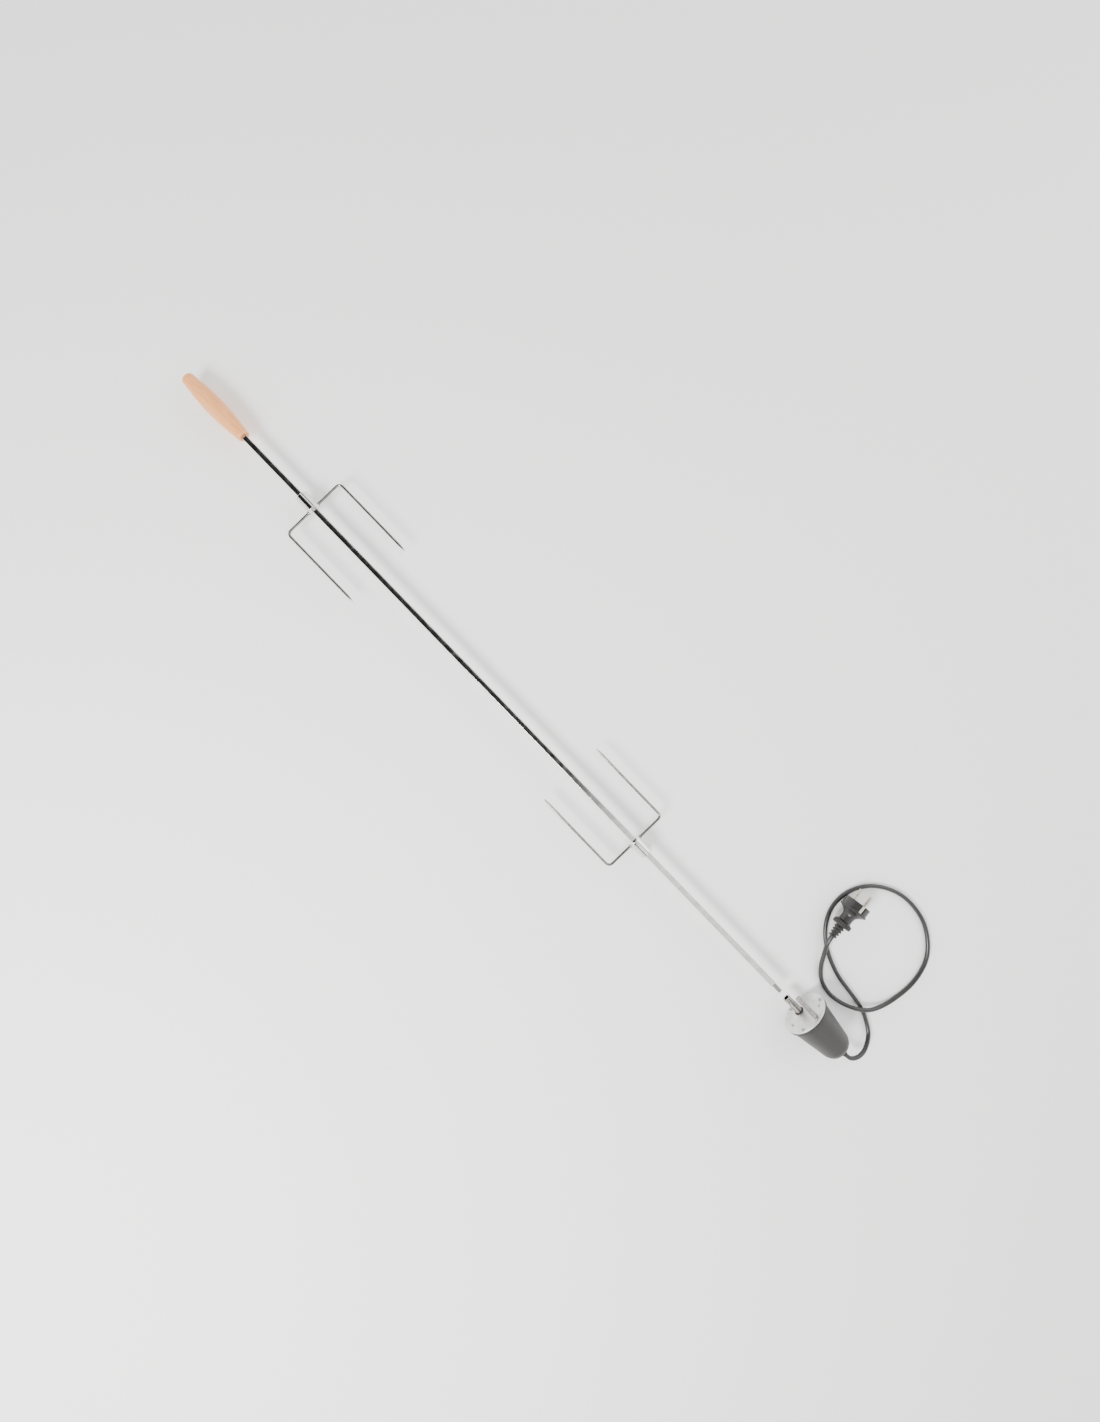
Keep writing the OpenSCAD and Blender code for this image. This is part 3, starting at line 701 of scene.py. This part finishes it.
forkSettings = {
    "collarR": 10, "edge": 0.8, "boreHalf": 4.15, "wireR": 2, "bendR": 7, "point": 13,
    "wireSink": 2, "armRun": 12, "prongRun": 40, "tipShare": 0.14, "weldR": 3.1, "weldLen": 2.4,
    "weldSink": 0.8, "weldLump": 0.16, "bendSteps": 12,
}


def collarShape(x, r, angle):
    # the innermost points of the collar follow its square bore
    half = forkSettings["boreHalf"] * mm
    if r > half * 1.05:
        return r
    return half / max(abs(math.cos(angle)), abs(math.sin(angle)))


def makeCollar(name, node, body):
    s = forkSettings
    low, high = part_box(node)
    start, end = low.x / mm, high.x / mm
    bore = s["boreHalf"]
    corners = [(start, bore, 0), (start, s["collarR"], s["edge"]), (end, s["collarR"], s["edge"]),
               (end, bore, 0)]
    outline = [p * mm for p in filleted(corners, 6)]
    outline[0].y = outline[-1].y = bore * mm
    piece = lathe(name, outline, spitAxis, materials["chrome"], 128, collarShape, closed=True)
    return settle(piece, body, "polished_chrome", node)


def makeProng(name, node, body, toMotor):
    s = forkSettings
    low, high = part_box(node)
    facing = 1 if toMotor else -1
    side = 1 if (low.y + high.y) / 2 > spitAxis[0] else -1
    reach = max(abs(low.y), abs(high.y)) / mm - s["wireR"]
    cross = (low.x if toMotor else high.x) / mm + facing * s["wireR"]
    tip = (high.x if toMotor else low.x) / mm
    z = spitAxis[1] / mm
    path = [(cross, side * (s["collarR"] - s["wireSink"]), z)]
    path.append((cross, side * (reach - s["bendR"] - s["armRun"]), z))
    for k in range(s["bendSteps"] + 1):
        a = math.radians(90 * k / s["bendSteps"])
        path.append((cross + facing * s["bendR"] * (1 - math.cos(a)),
                     side * (reach - s["bendR"] + s["bendR"] * math.sin(a)), z))
    path.append((tip - facing * (s["point"] + s["prongRun"]), side * reach, z))
    radii = [s["wireR"]] * len(path)
    # ground to a point that curves in towards its end
    for k in range(9):
        t = k / 8
        path.append((tip - facing * s["point"] * (1 - t), side * reach, z))
        radii.append(s["wireR"] * (1 - (1 - s["tipShare"]) * t ** 1.5))
    piece = tube(name, [Vector(p) * mm for p in path], [r * mm for r in radii], materials["wire"])
    settle(piece, body, "chromed_wire", node)
    makeWeld(name + "Weld", cross, side, body)


def makeWeld(name, x, side, body):
    # a small lumpy bead where the wire meets the collar
    s = forkSettings
    turns, rows = 28, 9
    points, faces = [], []
    base = s["collarR"] - s["weldSink"]
    lumps = [random.uniform(-s["weldLump"], s["weldLump"]) for _ in range(turns)]
    for i in range(rows):
        t = i / (rows - 1)
        for k in range(turns):
            a = 2 * math.pi * k / turns
            lump = lumps[k] * math.sin(math.pi * min(1, t + 0.3))
            r = s["wireR"] - 0.1 + (s["weldR"] - s["wireR"] + lump + 0.1) * math.cos(t * math.pi / 2)
            points.append((x * mm + r * mm * math.cos(a),
                           side * (base + s["weldLen"] * math.sin(t * math.pi / 2)) * mm,
                           spitAxis[1] + r * mm * math.sin(a)))
    for i in range(rows - 1):
        a, b = i * turns, (i + 1) * turns
        for k in range(turns):
            n = (k + 1) % turns
            faces.append((a + k, b + k, b + n, a + n))
    faces.append(tuple(range(turns)))
    faces.append(tuple(range((rows - 1) * turns, rows * turns)))
    piece = meshObject(name, points, faces, materials["wire"], 60)
    settle(piece, body, "chromed_wire")


screwSettings = {
    "shankR": 2.5, "pitch": 0.8, "thread": 0.35, "bossR": 4.5, "wingSpan": 30, "wingT": 3,
    "wingR": 5.5, "wingTurn": 50, "bevel": 0.9, "topGap": 0.4,
}


def screwLathe(name, corners, center, material, segments=64, steps=5):
    # turned about Z: drawn along X and stood up
    outline = [p * mm for p in filleted(corners, steps)]
    piece = lathe(name, outline, (0, 0), material, segments)
    for v in piece.data.vertices:
        x, y, z = v.co
        v.co = (center[0] + y, center[1] + z, x)
    work = bmesh.new()
    work.from_mesh(piece.data)
    bmesh.ops.recalc_face_normals(work, faces=work.faces)
    work.to_mesh(piece.data)
    work.free()
    return piece


def wingOutline():
    s = screwSettings
    offset = s["wingSpan"] / 2 - s["wingR"]
    outline = []
    for k in range(17):
        a = math.radians(-90 + 200 * k / 16)
        outline.append((offset + s["wingR"] * math.cos(a), s["wingR"] + s["wingR"] * math.sin(a)))
    outline += [(3.6, 8.2), (0, 7.2), (-3.6, 8.2)]
    for k in range(17):
        a = math.radians(70 + 200 * k / 16)
        outline.append((-offset + s["wingR"] * math.cos(a), s["wingR"] + s["wingR"] * math.sin(a)))
    outline += [(-4, 1.0), (4, 1.0)]
    return outline


def makeThumbScrew(name, node, body, turned):
    s = screwSettings
    low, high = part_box(node)
    center = ((low.x + high.x) / 2, (low.y + high.y) / 2)
    top = high.z / mm
    bossTop = spitAxis[1] / mm - forkSettings["collarR"] - s["topGap"]
    corners = [(0, 0, 0), (0, s["bossR"] - 0.4, 0.6), (bossTop * 0.62, s["bossR"], 0.5),
               (bossTop - 1.2, s["bossR"] - 0.7, 0.6), (bossTop, s["bossR"] - 1.3, 0.3),
               (bossTop, s["shankR"] - s["thread"], 0)]
    at = bossTop + 0.2
    while at + s["pitch"] < top - 0.8:
        corners += [(at + s["pitch"] * 0.35, s["shankR"], 0), (at + s["pitch"] * 0.55, s["shankR"], 0),
                    (at + s["pitch"] * 0.95, s["shankR"] - s["thread"], 0)]
        at += s["pitch"]
    corners += [(top - 0.5, s["shankR"] - 0.6, 0), (top, s["shankR"] - 1.1, 0), (top, 0, 0)]
    screw = screwLathe(name, corners, center, materials["chrome"])
    settle(screw, body, "polished_chrome", node)
    outline = wingOutline()
    count = len(outline)
    angle = math.radians(s["wingTurn"] + (180 if turned else 0))
    points = []
    for t in (-s["wingT"] / 2, s["wingT"] / 2):
        for u, w in outline:
            thin = t * (0.72 + 0.28 * min(1, abs(u) / 11))
            points.append((center[0] + (u * math.cos(angle) - thin * math.sin(angle)) * mm,
                           center[1] + (u * math.sin(angle) + thin * math.cos(angle)) * mm, w * mm))
    faces = [tuple(range(count)), tuple(range(2 * count - 1, count - 1, -1))]
    faces += [(k, (k + 1) % count, count + (k + 1) % count, count + k) for k in range(count)]
    wings = meshObject(name + "Wings", points, faces, materials["chrome"], 60)
    bevel = wings.modifiers.new("softEdges", "BEVEL")
    bevel.width = s["bevel"] * mm
    bevel.segments = 4
    bevel.limit_method = "ANGLE"
    bevel.angle_limit = math.radians(50)
    settle(wings, body, "polished_chrome")


for fork, toMotor in (("a", True), ("b", False)):
    makeCollar(f"collar{fork.upper()}", f"fork_{fork}_collar", f"fork_{fork}")
    for hand in ("left", "right"):
        makeProng(f"prong{fork.upper()}{hand.title()}", f"fork_{fork}_{hand}_prong",
                  f"fork_{fork}", toMotor)
    makeThumbScrew(f"thumbScrew{fork.upper()}", f"fork_{fork}_thumb_screw", f"screw_{fork}",
                   not toMotor)
print("forks made")


# ---- motor ----

casingSettings = {"wall": 2.2, "rim": 4, "step": 2, "endR": 23, "endRound": 6, "footW": 36,
                  "footLen": 18, "footRound": 2.2}


def makePlate():
    x0, x1 = plateLow.x / mm, plateHigh.x / mm
    r = plateRadius / mm
    corners = [(x0, 0, 0), (x0, r, 0.7), (x1, r, 0.2), (x1, 0, 0)]
    outline = [p * mm for p in filleted(corners, 5)]
    piece = lathe("facePlate", outline, motorAxis, materials["brushed"], 160)
    return settle(piece, "motor", "brushed_steel_plate", "face_plate")


def makeCasing():
    s = casingSettings
    x0, x1 = casingLow.x / mm, casingHigh.x / mm
    r = plateRadius / mm
    shell = r - s["step"]
    wall = s["wall"]
    corners = [
        (x0, shell - wall, 0), (x0 + 0.3, r - 0.5, 0.2), (x0 + 0.7, r, 0.4),
        (x0 + s["rim"], r, 0.6), (x0 + s["rim"] + 0.3, shell - 0.4, 0.5),
        (x0 + s["rim"] + 3, shell - 0.5, 1.0), (x1 - s["endRound"] * 1.2, s["endR"], 3),
        (x1 - 0.9, s["endR"] - 3.6, 4.2), (x1, s["endR"] - 9, 3), (x1, 0, 0),
    ]
    outer = filleted(corners, 9)
    inner = [Vector((x1 - wall, 0)), Vector((x1 - wall, s["endR"] - s["endRound"])),
             Vector((x1 - s["endRound"], s["endR"] - wall)), Vector((x0 + s["rim"], shell - wall))]
    outline = [p * mm for p in outer + inner]
    piece = lathe("motorCasing", outline, motorAxis, materials["abs"], 160, sharpAngle=40)
    return settle(piece, "motor", "black_moulded_plastic", "casing")


def makeFoot():
    # a moulded block that follows the casing's underside
    s = casingSettings
    x1 = casingHigh.x / mm - s["endRound"]
    x0 = x1 - s["footLen"]
    yMid, zMid = motorAxis[0] / mm, motorAxis[1] / mm
    half = s["footW"] / 2
    outline = [(-half, 0), (half, 0)]
    for k in range(21):
        y = half - 2 * half * k / 20
        outline.append((y, zMid - math.sqrt((s["endR"] - 0.4) ** 2 - y * y)))
    count = len(outline)
    points = [(x * mm, (yMid + y) * mm, z * mm) for x in (x0, x1) for y, z in outline]
    faces = [tuple(range(count)), tuple(range(2 * count - 1, count - 1, -1))]
    faces += [(k, (k + 1) % count, count + (k + 1) % count, count + k) for k in range(count)]
    foot = meshObject("casingFoot", points, faces, materials["abs"], 40)
    bevel = foot.modifiers.new("softEdges", "BEVEL")
    bevel.width = s["footRound"] * mm
    bevel.segments = 4
    bevel.limit_method = "ANGLE"
    bevel.angle_limit = math.radians(50)
    settle(foot, "motor", "black_moulded_plastic")


driveSettings = {"tubeR": 5.5, "shaftR": 4, "socket": 6.6, "depth": 26, "edge": 0.5,
                 "bushR": 7.5, "bushOut": 1.2}


def socketShape(x, r, angle):
    half = driveSettings["socket"] / 2 * mm
    if abs(r - half) > 1e-7:
        return r
    return half / max(abs(math.cos(angle)), abs(math.sin(angle)))


def makeDriveTube():
    s = driveSettings
    x0, x1 = shaftLow.x / mm, shaftHigh.x / mm
    half = s["socket"] / 2
    neck = plateHigh.x / mm + 1.5
    corners = [(x0 + s["depth"], 0, 0), (x0 + s["depth"], half, 0), (x0, half, 0),
               (x0, s["tubeR"], s["edge"]), (neck, s["tubeR"], 0), (neck, s["shaftR"], 0),
               (x1, s["shaftR"], 0.4), (x1, 0, 0)]
    outline = [p * mm for p in filleted(corners, 5)]
    piece = lathe("driveTube", outline, spitAxis, materials["nickel"], 128, socketShape)
    return settle(piece, "drive", "plated_steel", "drive_shaft")


def makeBush():
    s = driveSettings
    x0 = plateLow.x / mm - s["bushOut"]
    x1 = plateHigh.x / mm + 0.8
    inner = s["tubeR"] + 0.05
    corners = [(x0, inner, 0), (x0, s["bushR"] - 0.6, 0), (x0 + 0.6, s["bushR"], 0.4),
               (x0 + s["bushOut"], s["bushR"], 0), (x0 + s["bushOut"], s["bushR"] - 1, 0),
               (x1, s["bushR"] - 1, 0), (x1, inner, 0)]
    outline = [p * mm for p in filleted(corners, 4)]
    piece = lathe("shaftBush", outline, spitAxis, materials["bush"], 96, closed=True)
    return settle(piece, "motor", "black_bush", "shaft_bush")


pinSettings = {"r": 4, "studR": 3, "edge": 0.9}


def makeLocatingPin():
    s = pinSettings
    x0, x1 = pinLow.x / mm, pinHigh.x / mm
    base = plateLow.x / mm
    axis = ((pinLow.y + pinHigh.y) / 2, (pinLow.z + pinHigh.z) / 2)
    corners = [(x0, 0, 0), (x0, s["r"], s["edge"]), (base - 0.8, s["r"], 0.3),
               (base, s["r"] - 0.5, 0), (base, s["studR"], 0), (x1, s["studR"], 0.5), (x1, 0, 0)]
    outline = [p * mm for p in filleted(corners, 6)]
    piece = lathe("locatingPin", outline, axis, materials["nickel"], 96)
    return settle(piece, "motor", "plated_steel", "locating_pin")


screwHeadSettings = {
    "heads": (("casing_screws", 2.4, 1.4), ("gearbox_screws", 2.0, 0.8)), "slotW": 0.55,
    "slotShare": 0.62, "slotDeep": 0.6 / 1.4, "rows": 8,
    "firstTurn": 0.4, "turnStep": 0.7,
}


def makeScrewHead(name, x, at, radius, height, turn):
    s = screwHeadSettings
    rows = s["rows"]
    outline = [Vector((x + height, 0)), Vector((x + height, radius))]
    for i in range(rows + 1):
        a = math.pi / 2 * i / rows
        outline.append(Vector((x + height * 0.75 * (1 - math.sin(a)), radius * math.cos(a))))
    piece = lathe(name, [p * mm for p in outline], at, materials["zinc"], 72)
    slot = s["slotW"] / 2 * mm
    arm = radius * s["slotShare"] * mm
    for v in piece.data.vertices:
        y, z = v.co.y - at[0], v.co.z - at[1]
        u = y * math.cos(turn) + z * math.sin(turn)
        w = -y * math.sin(turn) + z * math.cos(turn)
        inCross = (abs(u) < slot and abs(w) < arm) or (abs(w) < slot and abs(u) < arm)
        if inCross and v.co.x < (x + height * 0.6) * mm:
            v.co.x += s["slotDeep"] * height * mm
    settle(piece, "motor", "zinc_plated_steel")
    return piece


def screwGroups(node):
    # the middle of each separate screw of a node, in Y and Z
    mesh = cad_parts[node].data
    groups = []
    for v in mesh.vertices:
        here = Vector((v.co.y, v.co.z))
        for group in groups:
            if (group[0] - here).length < 8 * mm:
                group.append(here)
                break
        else:
            groups.append([here])
    middles = []
    for group in groups:
        ys = [p.x for p in group]
        zs = [p.y for p in group]
        middles.append(((min(ys) + max(ys)) / 2, (min(zs) + max(zs)) / 2))
    return middles


def makeScrewHeads():
    for node, radius, height in screwHeadSettings["heads"]:
        x = plateLow.x / mm - height
        for i, at in enumerate(screwGroups(node)):
            makeScrewHead(f"{node.split('_')[0]}ScrewHead{i + 1}", x, at, radius, height,
                          screwHeadSettings["firstTurn"] + screwHeadSettings["turnStep"] * i)


stakeSettings = {"at": ((-16.7, -15.5), (20.5, -13), (-22, 15)), "radius": 1.5, "depth": 0.3}


def makeDimples():
    # small round staking marks on the plate
    for i, (y, z) in enumerate(stakeSettings["at"]):
        x = plateLow.x / mm
        deep, outer = stakeSettings["depth"], stakeSettings["radius"]
        corners = [(x + deep, 0, 0), (x - 0.05, 0.5, 0.1), (x - deep, 0.9, 0.2),
                   (x - deep, 1.2, 0.2), (x + deep, outer, 0)]
        outline = [p * mm for p in filleted(corners, 3)]
        at = (motorAxis[0] + y * mm, motorAxis[1] + z * mm)
        piece = lathe(f"stakeMark{i + 1}", outline, at, materials["brushed"], 32)
        settle(piece, "motor", "brushed_steel_plate")


makePlate()
makeCasing()
makeFoot()
makeDriveTube()
makeBush()
makeLocatingPin()
makeScrewHeads()
makeDimples()
print("motor made")

# Pieces whose CAD shape is right keep it and take a finish
finishes = {
    "casing_screws": "zinc", "gearbox_screws": "zinc", "locating_pin_nut": "zinc",
    "gearbox_plate": "zinc", "gearbox_posts": "steel", "gear_arbors": "steel",
    "output_gear": "acetal", "second_gear": "acetal", "third_gear": "acetal",
    "rotor_pinion": "brass", "rotor_shaft": "steel", "rotor_magnet": "ferrite",
    "stator_cup": "zinc", "stator_coil": "copper", "terminal_block": "nylon",
    "plug_earth_clips": "plugPin",
}
for node, finish in finishes.items():
    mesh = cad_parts[node].data
    mesh.materials.clear()
    mesh.materials.append(materials[finish])
print("finishes given to", len(finishes), "carried-over pieces")


# ---- stage ----

def makeStage():
    look = {"floor": "#fbfbfa", "size": 8.0}
    paper, _, shader = newMaterial("pale matt floor", Roughness=0.9, Specular_IOR_Level=0.2)
    shader.inputs["Base Color"].default_value = hexColor(look["floor"])
    half = look["size"] / 2
    corners = [(-half, -half, 0), (half, -half, 0), (half, half, 0), (-half, half, 0)]
    floor = meshObject("floor", corners, [(0, 1, 2, 3)], paper)


def areaLight(name, at, aim, size, power):
    data = bpy.data.lights.new(name, "AREA")
    data.shape = "DISK"
    data.size = size
    data.energy = power
    lamp = bpy.data.objects.new(name, data)
    lamp.location = at
    lamp.rotation_euler = (Vector(aim) - Vector(at)).to_track_quat("-Z", "Y").to_euler()
    scene.collection.objects.link(lamp)


def makeLights():
    # a key from the -Y side that throws the soft shadows, and a weak fill opposite
    middle = (0.1, 0, 0)
    areaLight("key", (0.05, -1.5, 1.7), middle, 0.9, 80)
    areaLight("fill", (0.6, 1.7, 1.3), middle, 1.6, 16)
    makeTent()


def makeTent():
    # a white tent, open and dark above the handle's end, which chrome shows as dark stripes
    look = {"bright": 2.3, "dark": 0.03, "seam": 0.9}
    world = bpy.data.worlds.new("studio")
    scene.world = world
    world.use_nodes = True
    tree = world.node_tree
    place = addNode(tree, "ShaderNodeTexCoord")
    way = addNode(tree, "ShaderNodeSeparateXYZ", {"Vector": (place, "Generated")})
    edges = [("X", 0.10, 0.26), ("Y", 0.08, 0.18), ("Z", 0.55, 0.42)]
    bright = None
    for axis, dark, light in edges:
        edge = addNode(tree, "ShaderNodeMapRange", {
            "Value": (way, axis), "From Min": dark, "From Max": light, "To Min": 0.0, "To Max": 1.0},
            interpolation_type="SMOOTHSTEP")
        if bright is None:
            bright = (edge, "Result")
        else:
            both = addNode(tree, "ShaderNodeMath", {0: bright, 1: (edge, "Result")},
                           operation="MAXIMUM")
            bright = (both, "Value")
    level = addNode(tree, "ShaderNodeMapRange", {
        "Value": bright, "To Min": look["dark"], "To Max": look["bright"]})
    # two dark seams along the tent's sides, which round chrome shows as thin lines
    aside = addNode(tree, "ShaderNodeMath", {0: (way, "Y")}, operation="ABSOLUTE")
    seam = rampStops(addNode(tree, "ShaderNodeValToRGB", {"Fac": (aside, "Value")}),
                     [(0.34, (0, 0, 0, 1)), (0.42, (1, 1, 1, 1)), (0.60, (1, 1, 1, 1)),
                      (0.68, (0, 0, 0, 1))])
    # only overhead: low down the tent stays plain
    overhead = addNode(tree, "ShaderNodeMapRange", {
        "Value": (way, "Z"), "From Min": 0.45, "From Max": 0.6, "To Max": look["seam"]})
    seamHigh = addNode(tree, "ShaderNodeMath", {0: (seam, "Color"), 1: (overhead, "Result")},
                       operation="MULTIPLY")
    shade = addNode(tree, "ShaderNodeMapRange", {
        "Value": (seamHigh, "Value"), "To Min": 1.0, "To Max": 0.0})
    total = addNode(tree, "ShaderNodeMath", {0: (level, "Result"), 1: (shade, "Result")},
                    operation="MULTIPLY")
    sky = tree.nodes["Background"]
    sky.inputs["Color"].default_value = (1, 1, 1, 1)
    tree.links.new(total.outputs["Value"], sky.inputs["Strength"])


makeStage()
makeLights()
print("stage and lights set")
